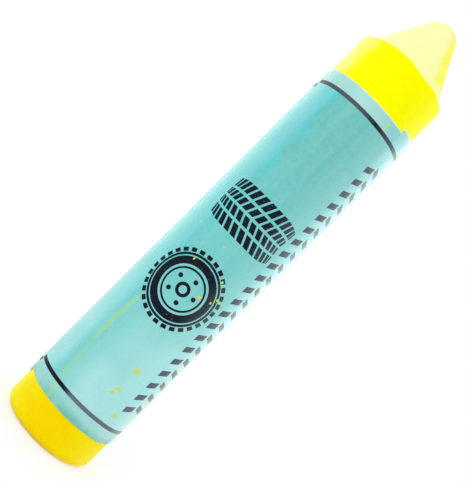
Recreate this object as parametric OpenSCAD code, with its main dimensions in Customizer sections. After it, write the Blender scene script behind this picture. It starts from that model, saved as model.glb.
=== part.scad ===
// Marking crayon for tyres: a cast stick of yellow wax in a wrapped paper label.
// It stands on its flat end, with the origin in the middle of that end and +Z towards the tip.
// Millimetres and degrees. Headings run anticlockwise, seen from above, from the front on the -Y side.

/* [Stick] */
// Length from the flat end to the tip
stick_length = 120; // [112:1:140]
// Diameter of the round body
stick_d = 22.6; // [21:0.1:30]
// Height of the shoulder where the body ends
shoulder_h = 106.4; // [100:0.1:110]
// Radius of the round around the flat end
base_round = 2; // [0.5:0.1:4]
// Radius of the round on the shoulder's rim
rim_round = 0.3; // [0.1:0.05:0.5]

/* [Point] */
// Diameter of the point where it stands on the shoulder
point_d = 19.6; // [12:0.1:20]
// Radius of the blunt end of the point
tip_r = 4.15; // [1:0.05:5]

/* [Chipped rim] */
// Heading where the chipped stretch of the rim begins
chip_start = 2; // [0:1:359]
// Sweep of the shallow chip
shallow_chip_sweep = 42; // [10:1:120]
// Depth of the shallow chip at the rim
shallow_chip_depth = 0.75; // [0.2:0.05:1.5]
// Sweep of the deep chip that follows it
deep_chip_sweep = 66; // [10:1:120]
// Depth of the deep chip at the rim
deep_chip_depth = 1.5; // [0.2:0.05:3]
// Width of the ledge that is left between the point and a chip
chip_ledge = 0.3; // [0.1:0.05:0.4]

/* [Label] */
// Height of the label's lower edge at the front
label_bottom = 8.1; // [5:0.1:12]
// Width of the paper strip, which is the height of the label
label_w = 87.7; // [60:0.1:88]
// Thickness of the paper
paper_t = 0.12; // [0.08:0.01:0.3]
// Thickness of the glue under each layer of paper
glue_t = 0.02; // [0.02:0.005:0.05]
// Turns of the strip around the stick
label_turns = 1.66; // [1.05:0.01:2.8]
// Heading of the strip's inner end
label_start = 46; // [0:1:359]
// Drop of the strip over one turn, as it is wound a little askew
label_drop = 1.1; // [0:0.1:1.5]
// Sweep over which the strip climbs onto its own inner end
climb_sweep = 6; // [3:1:30]

/* [Hidden] */
$fn = 120;

wax_colour = [0.98, 0.87, 0.05];
paper_colour = [0.45, 0.79, 0.77];

// Turns a heading into an angle from +X.
front = -90;
// How far a cutter reaches past what it cuts.
reach = 1;

stick_r = stick_d / 2;
point_r = point_d / 2;

// The side of the point runs from its foot past the tip's circle, a hair inside it, so the two cross.
tip_inset = 0.02;
tip_centre = stick_length - tip_r;
foot_to_centre = [point_r, tip_centre - shoulder_h];
side_lean = atan2(point_r, foot_to_centre.y) - asin((tip_r - tip_inset) / norm(foot_to_centre));
apex_h = shoulder_h + point_r / tan(side_lean);
tip_start_h = tip_centre + tip_r * sin(side_lean);

// Flat steps along the label, which meet the turn's own start exactly.
label_step = 360 / $fn;
label_sweep = 360 * label_turns;
label_steps = ceil(label_sweep / label_step - 0.001);

// What lies outside a quarter round in the corner of a square outline.
module outside_round(radius) {
    difference() {
        square(radius + reach);
        circle(radius);
    }
}

// What lies outside the tip's circle, from the height where the point's side is just inside it.
module outside_tip() {
    difference() {
        translate([0, tip_start_h]) square([tip_r + reach, apex_h]);
        translate([0, tip_centre]) circle(tip_r);
    }
}

module stick_outline() {
    difference() {
        polygon([
            [0, 0],
            [stick_r, 0],
            [stick_r, shoulder_h],
            [point_r, shoulder_h],
            [0, apex_h]
        ]);
        translate([stick_r - base_round, base_round]) mirror([0, 1]) outside_round(base_round);
        translate([stick_r - rim_round, shoulder_h - rim_round]) outside_round(rim_round);
        outside_tip();
    }
}

// A flake off the rim: its floor falls from the ledge beside the point to its depth at the rim.
module rim_chip(heading, sweep, depth) {
    ledge_r = point_r + chip_ledge;
    inner_r = point_r + chip_ledge / 2;
    outer_r = stick_r + reach;
    slope = depth / (stick_r - ledge_r);
    floor_inner_h = shoulder_h + slope * (ledge_r - inner_r);
    floor_outer_h = shoulder_h - slope * (outer_r - ledge_r);
    rotate([0, 0, front + heading])
        rotate_extrude(angle = sweep)
            polygon([[inner_r, floor_inner_h], [outer_r, floor_outer_h], [outer_r, floor_inner_h]]);
}

module wax_stick() {
    deep_chip_start = chip_start + shallow_chip_sweep;
    color(wax_colour)
        difference() {
            rotate_extrude() stick_outline();
            rim_chip(chip_start, shallow_chip_sweep + deep_chip_sweep / 2, shallow_chip_depth);
            rim_chip(deep_chip_start, deep_chip_sweep, deep_chip_depth);
        }
}

// Layers of paper under the strip after it has been wound through an angle.
function layers_below(wound) =
    floor(wound / 360) + max(0, (wound % 360 - 360 + climb_sweep) / climb_sweep);

// The four corners of the strip's section after it has been wound through an angle.
function strip_section(wound) =
    let (
        angle = front + label_start + wound,
        inner_r = stick_r + glue_t + (paper_t + glue_t) * layers_below(wound),
        outer_r = inner_r + paper_t,
        bottom = label_bottom - label_drop * (label_start + wound - 360) / 360,
        top = bottom + label_w,
        corners = [[inner_r, bottom], [outer_r, bottom], [outer_r, top], [inner_r, top]]
    )
    [for (c = corners) [c[0] * cos(angle), c[0] * sin(angle), c[1]]];

module paper_label() {
    sections = [for (i = [0 : label_steps]) strip_section(min(i * label_step, label_sweep))];
    last = 4 * label_steps;
    sides = [
        for (i = [0 : label_steps - 1], k = [0 : 3])
            let (next = (k + 1) % 4)
            [4 * i + k, 4 * i + next, 4 * i + 4 + next, 4 * i + 4 + k]
    ];
    color(paper_colour)
        polyhedron(
            points = [for (s = sections) each s],
            faces = concat([[3, 2, 1, 0]], sides, [[last, last + 1, last + 2, last + 3]])
        );
}

wax_stick();
paper_label();
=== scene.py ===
"""Looks of a tyre marking crayon: cast yellow wax in a wound paper label, standing on a white table.

Sizes are written in millimetres, and turned into Blender's metres where points are made. A heading is
in degrees round the stick from its front on the -Y side, towards +X. The label is one strip of paper,
so a place on it is a length along the strip from its inner end and a height above its lower edge.
"""

import math

import bpy
import numpy as np
from mathutils import Matrix, Vector, noise


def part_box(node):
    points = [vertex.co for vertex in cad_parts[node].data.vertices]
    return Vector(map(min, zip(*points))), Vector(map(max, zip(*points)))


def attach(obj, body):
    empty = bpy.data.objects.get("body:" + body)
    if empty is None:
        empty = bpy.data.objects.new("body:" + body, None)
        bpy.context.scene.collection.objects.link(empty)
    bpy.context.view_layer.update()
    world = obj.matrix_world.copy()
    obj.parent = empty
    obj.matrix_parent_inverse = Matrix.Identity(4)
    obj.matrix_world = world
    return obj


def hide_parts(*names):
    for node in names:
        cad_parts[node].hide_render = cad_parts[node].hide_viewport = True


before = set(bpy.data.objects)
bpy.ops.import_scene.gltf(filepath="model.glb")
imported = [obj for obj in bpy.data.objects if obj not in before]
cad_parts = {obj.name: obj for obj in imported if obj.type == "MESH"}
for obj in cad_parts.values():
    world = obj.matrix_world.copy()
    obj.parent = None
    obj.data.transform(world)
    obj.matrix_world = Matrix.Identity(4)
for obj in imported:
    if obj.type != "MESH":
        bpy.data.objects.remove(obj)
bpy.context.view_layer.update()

MM = 0.001
SHARP_ANGLE = math.radians(50)

# Map of places on the strip, and the map that colours are baked to. From its foot up, the label's bake map
# holds the printed face, the glued face, much narrowed, and a band for the edges
STRIP_MAP = "strip"
BAKE_MAP = "OFBake"
PRINTED_SHARE = 0.9
GLUED_FROM = 0.92
GLUED_SCALE = 0.05
EDGES_FROM = 0.98
EDGES_TO = 0.995

# The stick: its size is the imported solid's. The chips in its rim stop at a ledge round the point's foot
_, wax_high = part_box("wax_stick")
STICK_R = wax_high.x / MM
STICK_LENGTH = wax_high.z / MM
SHOULDER_H = 106.4
BASE_ROUND = 2.0
RIM_ROUND = 0.3
POINT_R = 9.8
TIP_R = 4.15
LEDGE_R = 10.1

# Heading and height of places on the chipped rim, which runs straight between them
RIM_PLACES = (
    (-180, 106.4),
    (-90, 105.8),
    (-48, 106.05),
    (-26, 106.65),
    (-4, 106.8),
    (4, 106.2),
    (20, 105.85),
    (42, 105.95),
    (50, 105.55),
    (76, 105.4),
    (108, 105.3),
    (114, 106.2),
    (180, 106.4),
)
# How far below the rim the wall is drawn up or down with it
RIM_REACH = 4.0
# Size and height of the rim's small unevenness, and its start in the noise
RIM_LUMP = 1.6
RIM_ROUGH = 0.18
RIM_SEED = 5.0
# Size, depth and start in the noise of the lumps in the cast skin
CAST_LUMPS = ((7.0, 0.05, 1.0), (1.7, 0.015, 2.0))
# Inside this radius the lumps fade out towards the stick's middle
CAST_FADE_R = 1.0

# The wax's mesh: points round each ring, and rings in each stretch of its outline
WAX_COLUMNS = 300
END_RINGS = 8
ROUND_RINGS = 7
WALL_RINGS = 96
LEDGE_RINGS = 8
SIDE_RINGS = 20
TIP_RINGS = 10
# Radius of the first ring, on the flat end, and angle of the last one, up the tip's circle
FIRST_RING_R = 0.8
LAST_RING_ANGLE = math.radians(84)

# The label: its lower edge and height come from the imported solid, as wound. It drops with each turn
paper_low, paper_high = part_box("paper_label")
PAPER_T = 0.12
GLUE_T = 0.02
TURNS = 1.66
WOUND = 360 * TURNS
STRIP_START = 46.0
STRIP_DROP = 1.1
STRIP_W = (paper_high.z - paper_low.z) / MM - STRIP_DROP * WOUND / 360
STRIP_LENGTH = math.radians(WOUND) * STICK_R
LOWEST_EDGE = paper_low.z / MM
# Angle over which the strip climbs onto its inner end
CLIMB = 16.0
# The strip's first turn shows a bare upper edge, which ends within this angle of the whole turn
BARE_END = 3
# How far the glue draws the printed face in: at most, at least as a share of that, and over what size
PRESSED = 0.05
PRESSED_LEAST = 0.4
PRESSED_LUMP = 11.0
PRESSED_SEED = 9.0
# How far the glued face sinks into what is under it
SUNK = 0.08
# How far the strip's outer end is pressed down, and over what angle
END_PRESSED = 0.1
END_TAPER = 5.0
# The label's mesh: degrees between its columns, and its rows
LABEL_STEP = 1.5
LABEL_ROWS = 46

# Print on the label. The rings' heights are above the strip's lower edge, and they lean back a little
LOW_RING_H = 3.8
HIGH_RING_H = 84.45
RING_W = 0.87
RING_LEAN = 0.45
RING_COLUMNS = 241
INK_T = 0.015
# Degrees between the points of an arc of print, points along each side of a block of tread, and rows of
# points in a lug of the track
ARC_STEP = 6
BLOCK_POINTS = 4
LUG_ROWS = 3

# Two plain drawings of a tyre, from the side and from the front
TYRE_HEADING = -3.0
TYRE_SIDE_Z = 42.5
TYRE_FRONT_Z = 62.0
TYRE_R = 8.6
# From the side: tread lugs, which fill a share of their pitch, rings and bolts. LUG_FOOT, BOLT_CIRCLE and
# the edges of the rings are shares of the tyre's radius
LUGS = 28
LUG_FOOT = 0.9
LUG_SHARE = 0.62
TYRE_RINGS = ((0.82, 0.88), (0.6, 0.79), (0.49, 0.54), (0.1, 0.18))
BOLTS = 5
BOLT_CIRCLE = 0.34
BOLT_R = 0.5
BOLT_HOLE_R = 0.02
# From the front: rows of tread up to an angle either way, and the share of their pitch that is bare at each
# end of a block. Each row has a rib and a shoulder on either side of the tyre's middle
TYRE_HALF_W = 5.2
TREAD_ROWS = 13
TREAD_REACH = 80
TREAD_GAP = 0.14
TREAD_LEAN = 16.0
TREAD_NARROWS = 0.2
RIB = (0.3, 2.2)
SHOULDER = (2.8, TYRE_HALF_W)

# A track of the tyre's tread up the label: two rows of lugs, between two distances from its middle
TRACK_HEADING = 59.0
TRACK_LOW_Z = 16.0
TRACK_HIGH_Z = 88.0
TRACK_LUGS = 21
TRACK_LUG_SHARE = 0.42
TRACK_LUG = (0.35, 2.8)
TRACK_SLANT = 0.9

# Heading, height and width of each crumb of wax that is stuck to the label
CRUMBS = (
    (23.0, 24.4, 1.1),
    (20.8, 18.0, 0.7),
    (22.3, 19.4, 0.9),
    (42.0, 14.6, 0.9),
    (-16.8, 48.4, 0.6),
    (15.3, 43.6, 0.7),
    (27.5, 44.3, 0.6),
    (30.8, 45.7, 0.8),
    (20.4, 49.0, 0.7),
)
CRUMB_T = 0.07
# A crumb's reach round the stick as a share of its reach up it
CRUMB_NARROW = 0.8
# The waves round a crumb's outline, how deep they are at most, and the widest angle, in radians, at which
# they start
CRUMB_WAVES = (1, 2, 3, 5)
CRUMB_UNEVEN = 0.3
CRUMB_PHASE = 7
CRUMB_SEED = 11
# A crumb's mesh: points round it, and its rings as shares of its outline
CRUMB_SPOKES = 18
CRUMB_RINGS = (1.0, 0.8, 0.5, 0.2)

# The wax streak on the label: its way round the stick from the front, where it bends, and how much
STREAK_ACROSS = -6.65
STREAK_BEND_Z = 26.0
STREAK_BEND = 0.0065
# The middle of the dab of wax near the label's top, round the stick from the front and up it
DAB_ACROSS = 5.25
DAB_Z = 93.9

# Most of a noise's values lie between these two
NOISE_LOW = 0.3
NOISE_HIGH = 0.7

# The camera that was fitted to the photograph: the picture's longer side and the lens's length in pixels,
# the sensor's width, the nearest distance that is seen, the camera's place, and its turns in degrees
PHOTO_LONG_SIDE = 481
LENS_PIXELS = 869.6
SENSOR = 36.0
CLIP_START = 5.0
CAMERA_AT = (0.0, -183.3, 58.0)
CAMERA_YAW, CAMERA_PITCH, CAMERA_ROLL = -0.148, -0.541, 45.109

# The world's strength for light that bounces, and for what is seen
WORLD_FILL = 0.8
WORLD_SEEN = 1.0

# The floor: its white for light that bounces and as it is seen, and its glow, which only shows where it is
# seen. It glows less near the stick, so that the stick's shadow shows there
FLOOR_R = 900.0
FLOOR_SIDES = 96
FLOOR_BOUNCE = 0.85
FLOOR_SEEN = 0.42
FLOOR_GLOW = 0.68
SHADOW_GLOW = 0.58
SHADOW_R = 50.0
SHADOW_END_R = 150.0

# Soft boxes: name, place, what each faces, width and height, and brightness where white paper has 1
LAMPS = (
    ("front", (-140, -330, 300), (0, 0, 80), (260, 260), 1.7),
    ("right", (285, 195, 70), (0, 0, 60), (380, 300), 1.3),
    ("left", (-210, 285, 160), (0, 0, 100), (480, 300), 0.65),
)
# Watts of a soft box for each square metre of its face, at a brightness of 1
LAMP_WATTS = 4


def srgb(red, green, blue):
    """A colour that is written as it looks on screen, from 0 to 255, as linear light."""
    parts = [c / 255 for c in (red, green, blue)]
    return tuple(c / 12.92 if c <= 0.04045 else ((c + 0.055) / 1.055) ** 2.4 for c in parts) + (1.0,)


def smooth(value):
    """0 to 1 with soft ends."""
    value = np.clip(value, 0, 1)
    return value * value * (3 - 2 * value)


def on_stick(heading, radius, height):
    """Points from headings, radii and heights."""
    heading, radius, height = np.broadcast_arrays(np.radians(heading), radius, height)
    return np.stack([radius * np.sin(heading), -radius * np.cos(heading), height], -1)


def lumps(points, size, seed):
    """Smooth noise from 0 to 1 at points, with lumps of about that size."""
    flat = points.reshape(-1, 3) / size + seed
    values = np.array([noise.noise(Vector(p)) for p in flat])
    return np.clip(0.5 + 0.5 * values, 0, 1).reshape(points.shape[:-1])


def mesh_piece(name, points, faces, material, maps=None):
    """A smooth mesh object with sharp edges. maps has a place for each face's corners on each named map."""
    mesh = bpy.data.meshes.new(name)
    mesh.from_pydata((points * MM).tolist(), [], faces)
    mesh.update()
    mesh.polygons.foreach_set("use_smooth", np.ones(len(mesh.polygons), bool))
    mesh.set_sharp_from_angle(angle=SHARP_ANGLE)
    for map_name, places in (maps or {}).items():
        layer = mesh.uv_layers.new(name=map_name)
        layer.data.foreach_set("uv", places.astype(np.float32).ravel())
    mesh.materials.append(material)
    piece = bpy.data.objects.new(name, mesh)
    bpy.context.scene.collection.objects.link(piece)
    return piece


def grid_faces(rows, columns, first=0, closed=False):
    """Quads over a grid of vertices that is stored row by row."""
    last = columns if closed else columns - 1
    return [
        (
            first + r * columns + c,
            first + r * columns + (c + 1) % columns,
            first + (r + 1) * columns + (c + 1) % columns,
            first + (r + 1) * columns + c,
        )
        for r in range(rows - 1)
        for c in range(last)
    ]


def grid_borders(rows, columns, closed):
    """A grid's outer vertices, in loops that run as its faces do."""
    low = list(range(columns))
    high = [(rows - 1) * columns + c for c in reversed(range(columns))]
    if closed:
        return [low, high]
    right = [r * columns + columns - 1 for r in range(1, rows - 1)]
    left = [r * columns for r in reversed(range(1, rows - 1))]
    return [low + right + high + left]


def sheet_faces(rows, columns, first=0, closed=False):
    """Faces of a thin closed sheet: its front, its back, with vertices after the front's, and its edges."""
    count = rows * columns
    front = grid_faces(rows, columns, first, closed)
    back = [tuple(count + v for v in reversed(f)) for f in front]
    edge = []
    for loop in grid_borders(rows, columns, closed):
        ring = [first + v for v in loop]
        edge += [(b, a, count + a, count + b) for a, b in zip(ring, ring[1:] + ring[:1])]
    return front, back, edge


class Nodes:
    """A tree of shader nodes, with short calls for the kinds that are used here."""

    def __init__(self, tree):
        self.tree = tree

    def node(self, kind, **settings):
        made = self.tree.nodes.new(kind)
        for name, value in settings.items():
            setattr(made, name, value)
        return made

    def put(self, socket, value):
        """Joins a node's output to a socket, or sets the socket to a plain value."""
        if isinstance(value, bpy.types.NodeSocket):
            self.tree.links.new(value, socket)
        else:
            socket.default_value = value

    def fill(self, made, *values):
        """Puts values into a node's first inputs, in their order, and gives its first output."""
        for socket, value in zip(made.inputs, values):
            self.put(socket, value)
        return made.outputs[0]

    def parts(self, vector):
        made = self.node("ShaderNodeSeparateXYZ")
        self.put(made.inputs[0], vector)
        return made.outputs

    def joined(self, x, y, z):
        return self.fill(self.node("ShaderNodeCombineXYZ"), x, y, z)

    def maths(self, operation, *values):
        return self.fill(self.node("ShaderNodeMath", operation=operation), *values)

    def chain(self, operation, first, *others):
        """An operation on two values, done with more of them one after another."""
        for other in others:
            first = self.maths(operation, first, other)
        return first

    def product(self, *values):
        return self.chain("MULTIPLY", *values)

    def total(self, *values):
        return self.chain("ADD", *values)

    def highest(self, *values):
        return self.chain("MAXIMUM", *values)

    def apart(self, first, second):
        return self.maths("ABSOLUTE", self.maths("SUBTRACT", first, second))

    def ramp(self, value, low, high, start=0.0, end=1.0):
        """A soft step from start, where the value is low, to end, where it is high."""
        made = self.node("ShaderNodeMapRange", interpolation_type="SMOOTHSTEP")
        return self.fill(made, value, low, high, start, end)

    def blend(self, amount, first, second):
        made = self.node("ShaderNodeMix", data_type="RGBA")
        for socket, value in ((0, amount), (6, first), (7, second)):
            self.put(made.inputs[socket], value)
        return made.outputs[2]

    def by_ray(self, bounced, seen):
        """A value for light that bounces, and another for what the camera, gloss and glass see."""
        path = self.node("ShaderNodeLightPath")
        names = ("Is Camera Ray", "Is Glossy Ray", "Is Transmission Ray")
        is_seen = self.highest(*(path.outputs[name] for name in names))
        return self.ramp(is_seen, 0.0, 1.0, bounced, seen)


class Shader(Nodes):
    """A new material's nodes. Its places and lengths are in millimetres, and its heading is in radians."""

    def __init__(self, name):
        self.material = bpy.data.materials.new(name)
        self.material.use_nodes = True
        super().__init__(self.material.node_tree)
        self.surface = self.tree.nodes["Principled BSDF"]
        to_mm = self.node("ShaderNodeVectorMath", operation="SCALE")
        self.put(to_mm.inputs[0], self.node("ShaderNodeTexCoord").outputs["Object"])
        self.put(to_mm.inputs["Scale"], 1 / MM)
        self.place = to_mm.outputs[0]
        self.x, self.y, self.z = self.parts(self.place)
        self.heading = self.maths("ARCTAN2", self.x, self.product(self.y, -1.0))

    def grain(self, size, detail=2.0, place=None):
        """Noise from 0 to 1 with features of a size."""
        made = self.node("ShaderNodeTexNoise")
        self.put(made.inputs["Vector"], place or self.place)
        self.put(made.inputs["Scale"], 1 / size)
        self.put(made.inputs["Detail"], detail)
        return made.outputs["Fac"]

    def drawn_out(self, size, detail, squeeze):
        """Noise with features of a size round the stick, drawn out up it, where places are squeezed."""
        return self.grain(size, detail, self.joined(self.x, self.y, self.product(self.z, squeeze)))

    def varied(self, size, start, end):
        """Values from start to end that vary with features of a size."""
        return self.ramp(self.grain(size, 3.0), NOISE_LOW, NOISE_HIGH, start, end)

    def jitter(self, value, size, reach):
        """A value made uneven by noise of a size, by up to reach either way."""
        return self.total(value, self.ramp(self.grain(size), NOISE_LOW, NOISE_HIGH, -reach, reach))

    def bump(self, height, distance, strength, under=None):
        """Bump whose full height is a distance."""
        made = self.node("ShaderNodeBump")
        self.put(made.inputs["Height"], height)
        self.put(made.inputs["Distance"], distance * MM)
        self.put(made.inputs["Strength"], strength)
        if under:
            self.put(made.inputs["Normal"], under)
        return made.outputs[0]

    def set(self, **values):
        """Sets the surface shader's inputs. Underscores stand for spaces."""
        for name, value in values.items():
            self.put(self.surface.inputs[name.replace("_", " ")], value)


# Materials. A ramp runs between two places, two headings or two values of a noise, and its last two
# numbers are the amounts at its ends, which are 0 and 1 where they aren't given
def on_point(shader):
    """How far a place is on the shoulder or the point, and not on the round wall."""
    squares = shader.total(shader.product(shader.x, shader.x), shader.product(shader.y, shader.y))
    inwards = shader.maths("SUBTRACT", STICK_R, shader.maths("SQRT", squares))
    height = shader.total(shader.z, shader.product(inwards, 1.5))
    return shader.ramp(height, SHOULDER_H - 0.3, SHOULDER_H + 0.5)


def point_colour(shader):
    """The point's pale yellow, which is a painted highlight, with a deeper yellow band up its right side,
    which is painted shade.
    """
    # Painted highlight: the point's pale yellow
    painted_glare_pale = srgb(253, 255, 181)
    painted_shade_yellow = srgb(254, 255, 101)
    side = shader.jitter(shader.heading, 1.5, 0.05)
    above = shader.maths("SUBTRACT", shader.z, SHOULDER_H)
    # Painted shade: a deeper yellow band up the point's right side, above its foot
    used = shader.product(
        shader.ramp(side, 0.52, 0.7),
        shader.ramp(side, 1.95, 1.75),
        shader.ramp(shader.jitter(above, 2.0, 0.5), 0.6, 3.0),
    )
    return shader.blend(used, painted_glare_pale, painted_shade_yellow)


def wax_colour(shader, pits):
    """Yellow wax with ochre grain and pits. Painted light and shade: golden low down, lemon towards the top
    and sides, and a pale painted glare at the upper left.
    """
    golden = srgb(254, 220, 0)
    lemon = srgb(255, 255, 2)
    painted_glare_white = srgb(253, 251, 194)
    ochre = srgb(244, 190, 0)
    # Painted light and shade: golden low down, where the stick is shaded, to lemon at its lit top
    colour = shader.blend(shader.ramp(shader.jitter(shader.z, 6.0, 6.0), 8.0, 98.0), golden, lemon)
    # Painted light: lemon on the lit left and right sides, and more so at the left edge
    uneven_x = shader.jitter(shader.x, 4.0, 1.5)
    left = shader.ramp(uneven_x, -3.0, -10.0, 0.0, 0.4)
    right = shader.ramp(uneven_x, 2.0, 9.0, 0.0, 0.35)
    painted_left_rim = shader.ramp(shader.jitter(shader.x, 3.0, 0.3), -9.3, -10.6, 0.0, 0.6)
    for amount in (left, right, painted_left_rim):
        colour = shader.blend(amount, colour, lemon)
    # Painted glare: the upper left is washed out pale
    upper_left = shader.product(
        shader.ramp(shader.jitter(shader.x, 3.0, 0.5), -7.2, -11.3),
        shader.ramp(shader.z, 90.0, 100.0, 0.0, 0.65),
    )
    colour = shader.blend(upper_left, colour, painted_glare_white)
    colour = shader.blend(on_point(shader), colour, point_colour(shader))
    colour = shader.blend(shader.ramp(shader.grain(1.8, 4.0), 0.35, 0.75, 0.0, 0.1), colour, ochre)
    return shader.blend(shader.product(pits, 0.3), colour, ochre)


def wax_skin(shader, pits):
    """Bump of the cast skin: soft lumps, fine lines up the stick, and pits."""
    lines = shader.ramp(shader.drawn_out(0.7, 4.0, 0.06), 0.35, 0.65)
    skin = shader.bump(shader.grain(2.6, 4.0), 0.1, 0.6)
    skin = shader.bump(lines, 0.02, 0.5, under=skin)
    return shader.bump(pits, -0.05, 0.7, under=skin)


def wax_material():
    shader = Shader("yellow_wax")
    pits = shader.ramp(shader.grain(0.55, 3.0), 0.62, 0.78)
    shader.set(
        Base_Color=wax_colour(shader, pits),
        Roughness=shader.varied(3.0, 0.46, 0.62),
        IOR=1.37,
        Specular_Tint=srgb(255, 226, 20),
        Subsurface_Weight=0.12,
        Subsurface_Radius=(1.0, 0.7, 0.1),
        Subsurface_Scale=1.2 * MM,
        Normal=wax_skin(shader, pits),
    )
    return shader.material


def crumb_material():
    shader = Shader("wax_crumbs")
    shader.set(
        Base_Color=shader.blend(shader.grain(0.5, 3.0), srgb(192, 216, 92), srgb(234, 226, 44)),
        Roughness=0.5,
        IOR=1.3,
        Normal=shader.bump(shader.grain(0.2, 3.0), 0.02, 0.6),
    )
    return shader.material


def wax_streak(shader, across):
    """A bent, broken streak of wax low on the label's left."""
    from_bend = shader.maths("SUBTRACT", shader.z, STREAK_BEND_Z)
    way = shader.total(shader.product(from_bend, from_bend, STREAK_BEND), STREAK_ACROSS)
    off = shader.jitter(shader.maths("SUBTRACT", across, way), 3.0, 0.15)
    threads = shader.grain(0.6, 3.0, shader.joined(across, 0.0, shader.product(shader.z, 0.08)))
    return shader.product(
        shader.ramp(shader.maths("ABSOLUTE", off), 1.2, 0.1),
        shader.ramp(shader.z, 21.0, 32.0, 0.45, 1.15),
        shader.ramp(shader.z, 36.0, 33.0),
        shader.ramp(threads, NOISE_LOW, NOISE_HIGH, 0.46, 0.68),
        shader.ramp(shader.grain(5.0), 0.35, 0.65, 0.65, 1.0),
    )


def wax_dab(shader, across):
    """A dab of wax at the label's upper edge."""
    off = shader.jitter(shader.apart(across, DAB_ACROSS), 0.8, 0.12)
    level = shader.apart(shader.z, DAB_Z)
    return shader.product(shader.ramp(off, 0.6, 0.0), shader.ramp(level, 1.9, 0.2), 0.62)


def crumb_stains(shader, across):
    """Stains round the crumbs."""
    place = shader.joined(across, shader.z, 0.0)
    stains = []
    for heading, level, width in CRUMBS:
        away = shader.node("ShaderNodeVectorMath", operation="DISTANCE")
        shader.put(away.inputs[0], place)
        shader.put(away.inputs[1], (math.radians(heading) * STICK_R, level, 0.0))
        uneven = shader.jitter(away.outputs["Value"], 0.7, 0.2)
        stains.append(shader.ramp(uneven, 1.2 * width, 0.3 * width, 0.0, 0.55))
    return shader.highest(*stains)


def wax_smears(shader):
    """Where wax has rubbed off onto the label: a streak, a dab, specks, and stains round the crumbs."""
    across = shader.product(shader.heading, STICK_R)
    specks = shader.product(
        shader.ramp(shader.grain(1.1, 1.0), 0.73, 0.8),
        shader.ramp(shader.z, 64.0, 52.0, 0.12, 0.5),
    )
    return shader.highest(
        wax_streak(shader, across),
        wax_dab(shader, across),
        specks,
        crumb_stains(shader, across),
    )


def wear_and_sheen(shader):
    """How pale the label is, most at its lower end, where handling has worn it dull. Along both sides the
    paleness is painted: painted reflection at the left and a painted highlight at the right.
    """
    low = shader.product(shader.ramp(shader.z, 50.0, 14.0), shader.ramp(shader.x, -8.5, 0.5))
    # Painted reflection: paler along the left side
    left = shader.product(
        shader.ramp(shader.z, 62.0, 14.0, 0.3, 0.85),
        shader.ramp(shader.x, -6.5, -9.0),
    )
    # Painted highlight: paler along the right side
    right = shader.ramp(shader.x, 0.5, 11.0, 0.0, 0.68)
    patchy = shader.ramp(shader.grain(9.0, 3.0), 0.25, 0.7, 0.7, 1.0)
    return shader.maths("MINIMUM", shader.product(shader.total(low, left, right), patchy), 1.0)


def field_colour(shader):
    """The label's blue-green: deeper near the top, with a bluer tint at the left that is painted
    reflection, paled by wear and by painted sheen, and pale at the low right with a painted highlight.
    """
    colour = shader.blend(shader.ramp(shader.z, 52.0, 88.0), srgb(104, 200, 197), srgb(91, 185, 180))
    # Painted reflection: a bluer tint towards the left
    left = shader.ramp(shader.jitter(shader.x, 5.0, 1.5), -4.0, -8.5, 0.0, 0.7)
    colour = shader.blend(left, colour, srgb(64, 205, 211))
    # Paler where worn at the lower end, and with painted sheen along both sides
    colour = shader.blend(wear_and_sheen(shader), colour, srgb(169, 230, 229))
    # Painted highlight: pale at the low right edge
    painted_low_right_glare = shader.product(
        shader.ramp(shader.x, 8.0, 11.2, 0.0, 0.5),
        shader.ramp(shader.z, 60.0, 20.0),
    )
    return shader.blend(painted_low_right_glare, colour, srgb(214, 242, 236))


def margin_colours(shader, height):
    """Colours of the paper above the upper ring, and below the lower one, where it is stained."""
    uneven_x = shader.jitter(shader.x, 3.0, 1.0)
    top = shader.blend(shader.ramp(uneven_x, 1.0, 8.0), srgb(162, 216, 210), srgb(134, 207, 208))
    low = shader.blend(shader.ramp(uneven_x, -1.0, 8.0), srgb(148, 213, 209), srgb(172, 226, 221))
    stained = shader.product(
        shader.ramp(height, 2.6, 0.2),
        shader.ramp(shader.grain(7.0, 3.0), 0.35, 0.6),
    )
    return top, shader.blend(stained, low, srgb(100, 186, 166))


def paper_colour(shader):
    """Field and margins, paper grain, wax smears, and the bare upper edge of the strip's first turn."""
    grain = srgb(160, 220, 217)
    band = srgb(168, 220, 222)
    smear = srgb(186, 224, 84)
    bare = srgb(214, 228, 208)
    strip = shader.node("ShaderNodeUVMap", uv_map=STRIP_MAP)
    along, height = shader.parts(strip.outputs[0])[:2]
    lean = shader.maths("SUBTRACT", 1.0, shader.maths("COSINE", shader.heading))
    print_height = shader.total(height, shader.product(lean, RING_LEAN))
    top, low = margin_colours(shader, height)
    colour = field_colour(shader)
    colour = shader.blend(shader.maths("GREATER_THAN", print_height, HIGH_RING_H), colour, top)
    colour = shader.blend(shader.maths("LESS_THAN", print_height, LOW_RING_H), colour, low)
    colour = shader.blend(shader.ramp(shader.grain(0.9, 4.0), 0.3, 0.75, 0.0, 0.16), colour, grain)
    colour = shader.blend(shader.ramp(shader.drawn_out(2.4, 2.0, 0.05), 0.4, 0.75, 0.0, 0.16), colour, band)
    colour = shader.blend(wax_smears(shader), colour, smear)
    edge = shader.ramp(shader.jitter(height, 0.8, 0.05), STRIP_W - 0.26, STRIP_W - 0.18)
    first_turn = shader.ramp(along, along_strip(360 + BARE_END), along_strip(360 - BARE_END))
    return shader.blend(shader.product(edge, first_turn), colour, bare)


def paper_material():
    shader = Shader("coated_paper")
    fibres = shader.bump(shader.grain(0.22, 3.0), 0.008, 0.5)
    shader.set(
        Base_Color=paper_colour(shader),
        Roughness=shader.varied(2.2, 0.25, 0.34),
        IOR=1.5,
        Normal=shader.bump(shader.grain(4.0, 2.0), 0.03, 0.4, under=fibres),
    )
    return shader.material


def core_material():
    shader = Shader("paper_core")
    fibres = shader.grain(0.15, 4.0)
    shader.set(
        Base_Color=shader.blend(fibres, srgb(243, 247, 240), srgb(226, 238, 233)),
        Roughness=0.8,
        Normal=shader.bump(fibres, 0.01, 0.6),
    )
    return shader.material


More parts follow.
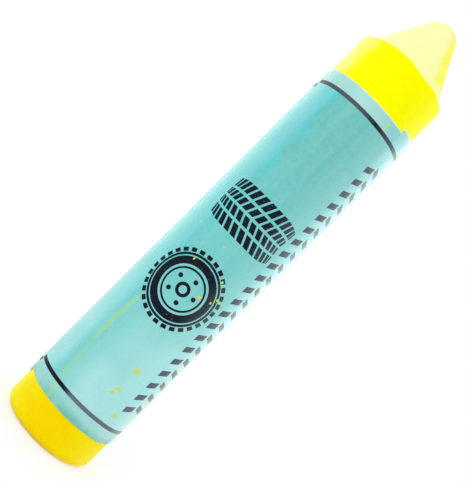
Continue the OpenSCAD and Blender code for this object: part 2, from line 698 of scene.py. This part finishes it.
def ink_colour(shader):
    """Navy ink, grey at the upper left and the lower right, and flaked all over. Along the right side its
    grey, paler at the edge, is painted reflection of the label's gloss.
    """
    navy = srgb(9, 20, 34)
    grey = srgb(104, 114, 122)
    reflection_pale_grey = srgb(150, 158, 160)
    paper = srgb(99, 160, 160)
    upper_left = shader.product(
        shader.ramp(shader.z, 72.0, 88.0),
        shader.ramp(shader.x, 4.5, -2.5, 0.0, 0.55),
    )
    low_right = shader.product(shader.ramp(shader.z, 36.0, 12.0), shader.ramp(shader.x, -3.6, -0.8))
    # Painted reflection: grey towards the right side, and paler grey at its edge
    right = shader.ramp(shader.x, 2.0, 10.5, 0.0, 0.75)
    colour = shader.blend(shader.highest(low_right, right, upper_left), navy, grey)
    colour = shader.blend(shader.ramp(shader.x, 8.8, 11.0, 0.0, 0.8), colour, reflection_pale_grey)
    flakes = shader.ramp(shader.grain(0.5, 4.0), 0.6, 0.75, 0.0, 0.25)
    return shader.blend(flakes, colour, paper)


def ink_material():
    shader = Shader("navy_ink")
    shader.set(
        Base_Color=ink_colour(shader),
        Roughness=shader.varied(1.5, 0.32, 0.44),
        IOR=1.2,
        Normal=shader.bump(shader.grain(0.22, 3.0), 0.006, 0.5),
    )
    return shader.material


def rim_height(headings):
    """The rim's height at headings, chips and their small unevenness included."""
    height = np.interp(headings, *zip(*RIM_PLACES))
    rough = lumps(on_stick(headings, STICK_R, SHOULDER_H), RIM_LUMP, RIM_SEED) - 0.5
    return height + RIM_ROUGH * rough


def wax_rows():
    """Radius, height and share of the rim's dip for each ring of the wax, from the flat end to the tip."""
    quarter = np.radians(np.linspace(0, 90, ROUND_RINGS))[1:]
    end = [(r, 0.0, 0.0) for r in np.linspace(FIRST_RING_R, STICK_R - BASE_ROUND, END_RINGS)]
    foot = [
        (STICK_R - BASE_ROUND * (1 - math.sin(a)), BASE_ROUND * (1 - math.cos(a)), 0.0)
        for a in quarter
    ]
    wall_top = SHOULDER_H - RIM_ROUND
    wall = [
        (STICK_R, z, max(0.0, 1 - (wall_top - z) / RIM_REACH))
        for z in np.linspace(BASE_ROUND, wall_top, WALL_RINGS)[1:]
    ]
    rim = [
        (STICK_R - RIM_ROUND * (1 - math.cos(a)), wall_top + RIM_ROUND * math.sin(a), 1.0)
        for a in quarter
    ]
    ledge = [
        (r, SHOULDER_H, max(0.0, (r - LEDGE_R) / (STICK_R - RIM_ROUND - LEDGE_R)))
        for r in np.linspace(STICK_R - RIM_ROUND, POINT_R, LEDGE_RINGS)[1:]
    ]
    tip_centre = STICK_LENGTH - TIP_R
    to_centre = tip_centre - SHOULDER_H
    lean = math.atan2(POINT_R, to_centre) - math.asin(TIP_R / math.hypot(POINT_R, to_centre))
    touch_r = TIP_R * math.cos(lean)
    touch_h = tip_centre + TIP_R * math.sin(lean)
    side = [
        (POINT_R + (touch_r - POINT_R) * t, SHOULDER_H + (touch_h - SHOULDER_H) * t, 0.0)
        for t in np.linspace(0, 1, SIDE_RINGS)[1:]
    ]
    tip = [
        (TIP_R * math.cos(a), tip_centre + TIP_R * math.sin(a), 0.0)
        for a in np.linspace(lean, LAST_RING_ANGLE, TIP_RINGS)[1:]
    ]
    return np.array(end + foot + wall + rim + ledge + side + tip)


def wax_map(rows, columns):
    """Bake map of the wax: once round across, and from the middle of the flat end to the tip upwards."""
    outline = np.vstack([[0, 0], rows[:, :2], [0, STICK_LENGTH]])
    up = np.append(0, np.cumsum(np.hypot(*np.diff(outline, axis=0).T)))
    up = up / up[-1]
    row, column = np.mgrid[1 : len(rows), 0:columns]
    across = np.stack([column, column + 1, column + 1, column], -1)
    quads = np.stack([across, up[np.stack([row, row, row + 1, row + 1], -1)]], -1).astype(float)
    start = np.arange(columns)[:, None]
    low = np.stack([start + [0.5, 1, 0], np.broadcast_to(up[[0, 1, 1]], (columns, 3))], -1)
    high = np.stack([start + [0.5, 0, 1], np.broadcast_to(up[[-1, -2, -2]], (columns, 3))], -1)
    places = np.concatenate([part.reshape(-1, 2) for part in (quads, low, high)])
    return places / [columns, 1]


def make_wax(material):
    """Rings of points from the flat end to the tip, with a fan of faces at either end."""
    columns = WAX_COLUMNS
    rows = wax_rows()
    headings = np.linspace(-180, 180, columns, endpoint=False)
    radius, height, dip = (rows[:, k, None] for k in range(3))
    height = height + dip * (rim_height(headings) - SHOULDER_H)
    points = on_stick(headings, radius, height)
    cast = sum(depth * lumps(points, size, seed) for size, depth, seed in CAST_LUMPS)
    cast = cast * smooth(rows[:, 1] / BASE_ROUND)[:, None]
    points[..., :2] *= 1 - (cast / np.maximum(radius, CAST_FADE_R))[..., None]
    count = len(rows) * columns
    flat = np.vstack([points.reshape(-1, 3), [[0, 0, 0]], [[0, 0, STICK_LENGTH]]])
    faces = grid_faces(len(rows), columns, closed=True)
    faces += [(count, (c + 1) % columns, c) for c in range(columns)]
    top = count - columns
    faces += [(count + 1, top + c, top + (c + 1) % columns) for c in range(columns)]
    piece = mesh_piece("wax_body", flat, faces, material, {BAKE_MAP: wax_map(rows, columns)})
    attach(piece, "root")
    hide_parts("wax_stick")


def layers_below(wound):
    """Layers of paper under the strip, which climbs softly onto its own inner end."""
    return np.floor(wound / 360) + smooth((wound % 360 - 360 + CLIMB) / CLIMB)


def strip_bottom(wound):
    return LOWEST_EDGE + STRIP_DROP * (WOUND - wound) / 360


def strip_point(wound, height, above_glue):
    """Points of the strip at angles wound and heights on it, at a distance above the glue under it."""
    wound, height = np.broadcast_arrays(np.asarray(wound, float), np.asarray(height, float))
    radius = STICK_R + GLUE_T + (PAPER_T + GLUE_T) * layers_below(wound)
    return on_stick(STRIP_START + wound, radius + above_glue, strip_bottom(wound) + height)


def printed_point(wound, height, lift=0.0):
    """Points on the strip's printed face, which the glue draws in a little unevenly, or a lift above it."""
    uneven = lumps(strip_point(wound, height, PAPER_T), PRESSED_LUMP, PRESSED_SEED)
    drawn_in = PRESSED * (PRESSED_LEAST + (1 - PRESSED_LEAST) * uneven)
    end = END_PRESSED * smooth(1 - (WOUND - wound) / END_TAPER)
    return strip_point(wound, height, PAPER_T - drawn_in - end + lift)


def along_strip(wound):
    return np.radians(wound) * STICK_R


def strip_place(heading, level):
    """Length along the strip and height on it of a place on the outermost turn."""
    first = WOUND - 360
    wound = first + (heading - STRIP_START - first) % 360
    return along_strip(wound), level - strip_bottom(wound)


def bake_places(along, height):
    """Places on the bake map of points on the printed face."""
    places = np.broadcast_arrays(along / STRIP_LENGTH, PRINTED_SHARE * height / STRIP_W)
    return np.stack(places, -1).reshape(-1, 2)


def label_map(places, front, back, edge):
    """Bake map of the label: its printed face, then the glued face, narrowed, and a band for the edges."""
    behind = places * [1, GLUED_SCALE] + [0, GLUED_FROM]
    run = np.arange(len(edge))[:, None] + [1, 0, 0, 1]
    band = np.array([EDGES_FROM, EDGES_FROM, EDGES_TO, EDGES_TO])
    edges = np.stack([run / len(edge), np.broadcast_to(band, run.shape)], -1)
    parts = places[np.array(front)], behind[np.array(back) - len(places)], edges
    return np.concatenate([part.reshape(-1, 2) for part in parts])


def make_label(material, core):
    """The wound strip as a closed sheet, with bare paper on its glued face and its edges."""
    wound = np.append(np.arange(0, WOUND, LABEL_STEP), WOUND)[None]
    heights = np.linspace(0, STRIP_W, LABEL_ROWS)[:, None]
    printed = printed_point(wound, heights)
    glued = strip_point(wound, heights, -SUNK)
    front, back, edge = sheet_faces(*printed.shape[:2])
    faces = front + back + edge
    points = np.vstack([printed.reshape(-1, 3), glued.reshape(-1, 3)])
    strip = np.stack(np.broadcast_arrays(along_strip(wound), heights), -1).reshape(-1, 2)
    maps = {
        BAKE_MAP: label_map(bake_places(along_strip(wound), heights), front, back, edge),
        STRIP_MAP: np.vstack([strip, strip])[np.array(faces)],
    }
    piece = mesh_piece("label_paper", points, faces, material, maps)
    piece.data.materials.append(core)
    kinds = np.repeat([0, 1], [len(front), len(back) + len(edge)]).astype(np.int32)
    piece.data.polygons.foreach_set("material_index", kinds)
    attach(piece, "root")
    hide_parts("paper_label")


def patch(along, up, closed=False):
    """A grid of places on the strip for a patch of print, facing outwards, and if its rows are rings."""
    places = np.stack(np.broadcast_arrays(along, up), -1)
    step = places[0, 1] - places[0, 0]
    rise = places[1, 0] - places[0, 0]
    faces_out = step[0] * rise[1] > step[1] * rise[0]
    return places if faces_out else places[::-1], closed


def ring_patch(height):
    """A ring line along the strip's outermost turn."""
    wound = np.linspace(WOUND - 360, WOUND, RING_COLUMNS)[None]
    lean = RING_LEAN * (1 - np.cos(np.radians(STRIP_START + wound)))
    return patch(along_strip(wound), height - lean + RING_W * np.array([[-0.5], [0.0], [0.5]]))


def sector_patch(middle, inner, outer, start, sweep):
    """A stretch of a ring round a place on the label, or the whole ring. Angles are in degrees."""
    whole = sweep == 360
    turn = np.linspace(0, sweep, 2 + round(sweep / ARC_STEP), endpoint=not whole)
    angle = np.radians(start + turn)[None]
    radius = np.linspace(inner, outer, 2 + round(outer - inner))[:, None]
    return patch(middle[0] + radius * np.cos(angle), middle[1] + radius * np.sin(angle), whole)


def lug_patch(middle, along, up, slant):
    """A lug between two lengths and two heights from a place. Its far side is higher by slant."""
    across = np.linspace(0, 1, BLOCK_POINTS)[None]
    rise = np.linspace(*up, LUG_ROWS)[:, None]
    return patch(middle[0] + along[0] + (along[1] - along[0]) * across, middle[1] + rise + slant * across)


def tread_patch(middle, turn, out):
    """A block of tread seen from the front, between two angles round the tyre and two places across it."""
    out = np.linspace(*out, BLOCK_POINTS)[:, None]
    lean = TREAD_LEAN * (np.abs(out) / TYRE_HALF_W - 0.5)
    angle = np.radians(np.linspace(*turn, BLOCK_POINTS)[None] + lean)
    narrowed = 1 - TREAD_NARROWS * np.sin(angle) ** 6
    return patch(middle[0] + TYRE_R * np.sin(angle), middle[1] + out * narrowed)


def tyre_from_side(middle):
    """Tread lugs, sidewall, rim, hub and bolts, as rings round a place on the label."""
    pitch = 360 / LUGS
    patches = []
    for i in range(LUGS):
        patches.append(sector_patch(middle, LUG_FOOT * TYRE_R, TYRE_R, i * pitch, LUG_SHARE * pitch))
    for inner, outer in TYRE_RINGS:
        patches.append(sector_patch(middle, inner * TYRE_R, outer * TYRE_R, 0, 360))
    for i in range(BOLTS):
        turn = math.radians(360 * i / BOLTS)
        along = middle[0] + BOLT_CIRCLE * TYRE_R * math.cos(turn)
        up = middle[1] + BOLT_CIRCLE * TYRE_R * math.sin(turn)
        patches.append(sector_patch((along, up), BOLT_HOLE_R, BOLT_R, 0, 360))
    return patches


def tyre_from_front(middle):
    """Rows of tread blocks, which close up towards the tyre's edges: two ribs and two shoulders in each."""
    pitch = 2 * TREAD_REACH / TREAD_ROWS
    patches = []
    for i in range(TREAD_ROWS):
        turn = (-TREAD_REACH + pitch * (i + TREAD_GAP), -TREAD_REACH + pitch * (i + 1 - TREAD_GAP))
        for side in (-1, 1):
            for near, far in (RIB, SHOULDER):
                patches.append(tread_patch(middle, turn, (near * side, far * side)))
    return patches


def tread_track():
    """Two rows of slanted lugs that run up the label, set half a step apart."""
    along, low = strip_place(TRACK_HEADING, TRACK_LOW_Z)
    pitch = (TRACK_HIGH_Z - TRACK_LOW_Z) / TRACK_LUGS
    near, far = TRACK_LUG
    up = (0.0, TRACK_LUG_SHARE * pitch)
    patches = []
    for i in range(TRACK_LUGS):
        patches.append(lug_patch((along, low + pitch * i), (-far, -near), up, TRACK_SLANT))
        patches.append(lug_patch((along, low + pitch * (i + 0.5)), (near, far), up, -TRACK_SLANT))
    return patches


def make_ink(material):
    """Each patch of print as a thin closed sheet, half in the paper and half above it."""
    patches = [ring_patch(LOW_RING_H), ring_patch(HIGH_RING_H)]
    patches += tyre_from_side(strip_place(TYRE_HEADING, TYRE_SIDE_Z))
    patches += tyre_from_front(strip_place(TYRE_HEADING, TYRE_FRONT_Z))
    patches += tread_track()
    points, faces, places = [], [], []
    first = 0
    for spots, closed in patches:
        rows, columns = spots.shape[:2]
        along, height = spots[..., 0], spots[..., 1]
        wound = np.degrees(along / STICK_R)
        for lift in (INK_T, -INK_T):
            points.append(printed_point(wound, height, lift).reshape(-1, 3))
            places.append(bake_places(along, height))
        front, back, edge = sheet_faces(rows, columns, first, closed)
        faces += front + back + edge
        first += 2 * rows * columns
    maps = {BAKE_MAP: np.vstack(places)[np.array(faces)]}
    piece = mesh_piece("label_ink", np.vstack(points), faces, material, maps)
    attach(piece, "root")


def crumb_outline(rng, angle):
    """A crumb's radius by angle, as a share of a round one's: a few waves of seeded depth and start."""
    outline = 1.0
    for count in CRUMB_WAVES:
        depth = rng.uniform(-CRUMB_UNEVEN, CRUMB_UNEVEN) / count
        outline = outline + depth * np.cos(count * angle + rng.uniform(0, CRUMB_PHASE))
    return outline


def make_crumbs(material):
    """Low uneven crumbs of wax that are pressed onto the label."""
    rng = np.random.default_rng(CRUMB_SEED)
    shares = np.array(CRUMB_RINGS)[:, None]
    angle = np.linspace(0, 2 * math.pi, CRUMB_SPOKES, endpoint=False)[None]
    lift = CRUMB_T * (1 - shares**2) - INK_T * (shares == 1)
    points, faces = [], []
    for k, (heading, level, width) in enumerate(CRUMBS):
        along, height = strip_place(heading, level)
        reach = width / 2 * crumb_outline(rng, angle) * shares
        wound = np.degrees((along + CRUMB_NARROW * reach * np.cos(angle)) / STICK_R)
        points.append(printed_point(wound, height + reach * np.sin(angle), lift).reshape(-1, 3))
        first = k * shares.size * CRUMB_SPOKES
        last = first + (shares.size - 1) * CRUMB_SPOKES
        faces += grid_faces(shares.size, CRUMB_SPOKES, first, closed=True)
        faces.append(tuple(first + c for c in reversed(range(CRUMB_SPOKES))))
        faces.append(tuple(last + c for c in range(CRUMB_SPOKES)))
    piece = mesh_piece("wax_crumbs", np.vstack(points), faces, material)
    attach(piece, "root")


def make_camera():
    yaw, pitch, roll = (math.radians(a) for a in (CAMERA_YAW, CAMERA_PITCH, CAMERA_ROLL))
    ahead = Vector((math.sin(yaw) * math.cos(pitch), math.cos(yaw) * math.cos(pitch), math.sin(pitch)))
    level = Vector((math.cos(yaw), -math.sin(yaw), 0.0))
    upright = level.cross(ahead)
    right = math.cos(roll) * level + math.sin(roll) * upright
    up = -math.sin(roll) * level + math.cos(roll) * upright
    data = bpy.data.cameras.new("camera")
    data.sensor_width = SENSOR
    data.lens = LENS_PIXELS * SENSOR / PHOTO_LONG_SIDE
    data.clip_start = CLIP_START * MM
    camera = bpy.data.objects.new("camera", data)
    turn = Matrix((right, up, -ahead)).transposed().to_4x4()
    camera.matrix_world = Matrix.Translation(Vector(CAMERA_AT) * MM) @ turn
    bpy.context.scene.collection.objects.link(camera)
    bpy.context.scene.camera = camera


def make_world():
    world = bpy.data.worlds.new("studio")
    world.use_nodes = True
    bpy.context.scene.world = world
    nodes = Nodes(world.node_tree)
    background = nodes.tree.nodes["Background"]
    nodes.put(background.inputs["Color"], (1, 1, 1, 1))
    nodes.put(background.inputs["Strength"], nodes.by_ray(WORLD_FILL, WORLD_SEEN))


def floor_material():
    material = bpy.data.materials.new("white_table")
    material.use_nodes = True
    nodes = Nodes(material.node_tree)
    nodes.tree.nodes.remove(nodes.tree.nodes["Principled BSDF"])
    matt = nodes.node("ShaderNodeBsdfDiffuse")
    nodes.put(matt.inputs["Color"], nodes.by_ray(FLOOR_BOUNCE, FLOOR_SEEN))
    away = nodes.node("ShaderNodeVectorMath", operation="LENGTH")
    nodes.put(away.inputs[0], nodes.node("ShaderNodeTexCoord").outputs["Object"])
    distance = away.outputs["Value"]
    glow_seen = nodes.ramp(distance, SHADOW_R * MM, SHADOW_END_R * MM, SHADOW_GLOW, FLOOR_GLOW)
    glow = nodes.node("ShaderNodeEmission")
    nodes.put(glow.inputs["Strength"], nodes.by_ray(0.0, glow_seen))
    both = nodes.fill(nodes.node("ShaderNodeAddShader"), matt.outputs[0], glow.outputs[0])
    nodes.put(nodes.tree.nodes["Material Output"].inputs["Surface"], both)
    return material


def make_floor():
    headings = np.linspace(-180, 180, FLOOR_SIDES, endpoint=False)
    points = on_stick(headings, FLOOR_R, 0.0)
    floor = mesh_piece("floor", points, [tuple(range(FLOOR_SIDES))], floor_material())


def make_lamp(name, place, target, size, brightness):
    data = bpy.data.lights.new(name, "AREA")
    data.shape = "RECTANGLE"
    data.size, data.size_y = (s * MM for s in size)
    data.energy = LAMP_WATTS * brightness * data.size * data.size_y
    lamp = bpy.data.objects.new(name, data)
    ahead = Vector(target) - Vector(place)
    lamp.location = Vector(place) * MM
    lamp.rotation_euler = ahead.to_track_quat("-Z", "Y").to_euler()
    lamp.visible_camera = False
    bpy.context.scene.collection.objects.link(lamp)


def main():
    bpy.context.scene.view_settings.view_transform = "Standard"
    make_camera()
    make_world()
    make_floor()
    for lamp in LAMPS:
        make_lamp(*lamp)
    make_wax(wax_material())
    make_label(paper_material(), core_material())
    make_ink(ink_material())
    make_crumbs(crumb_material())


main()
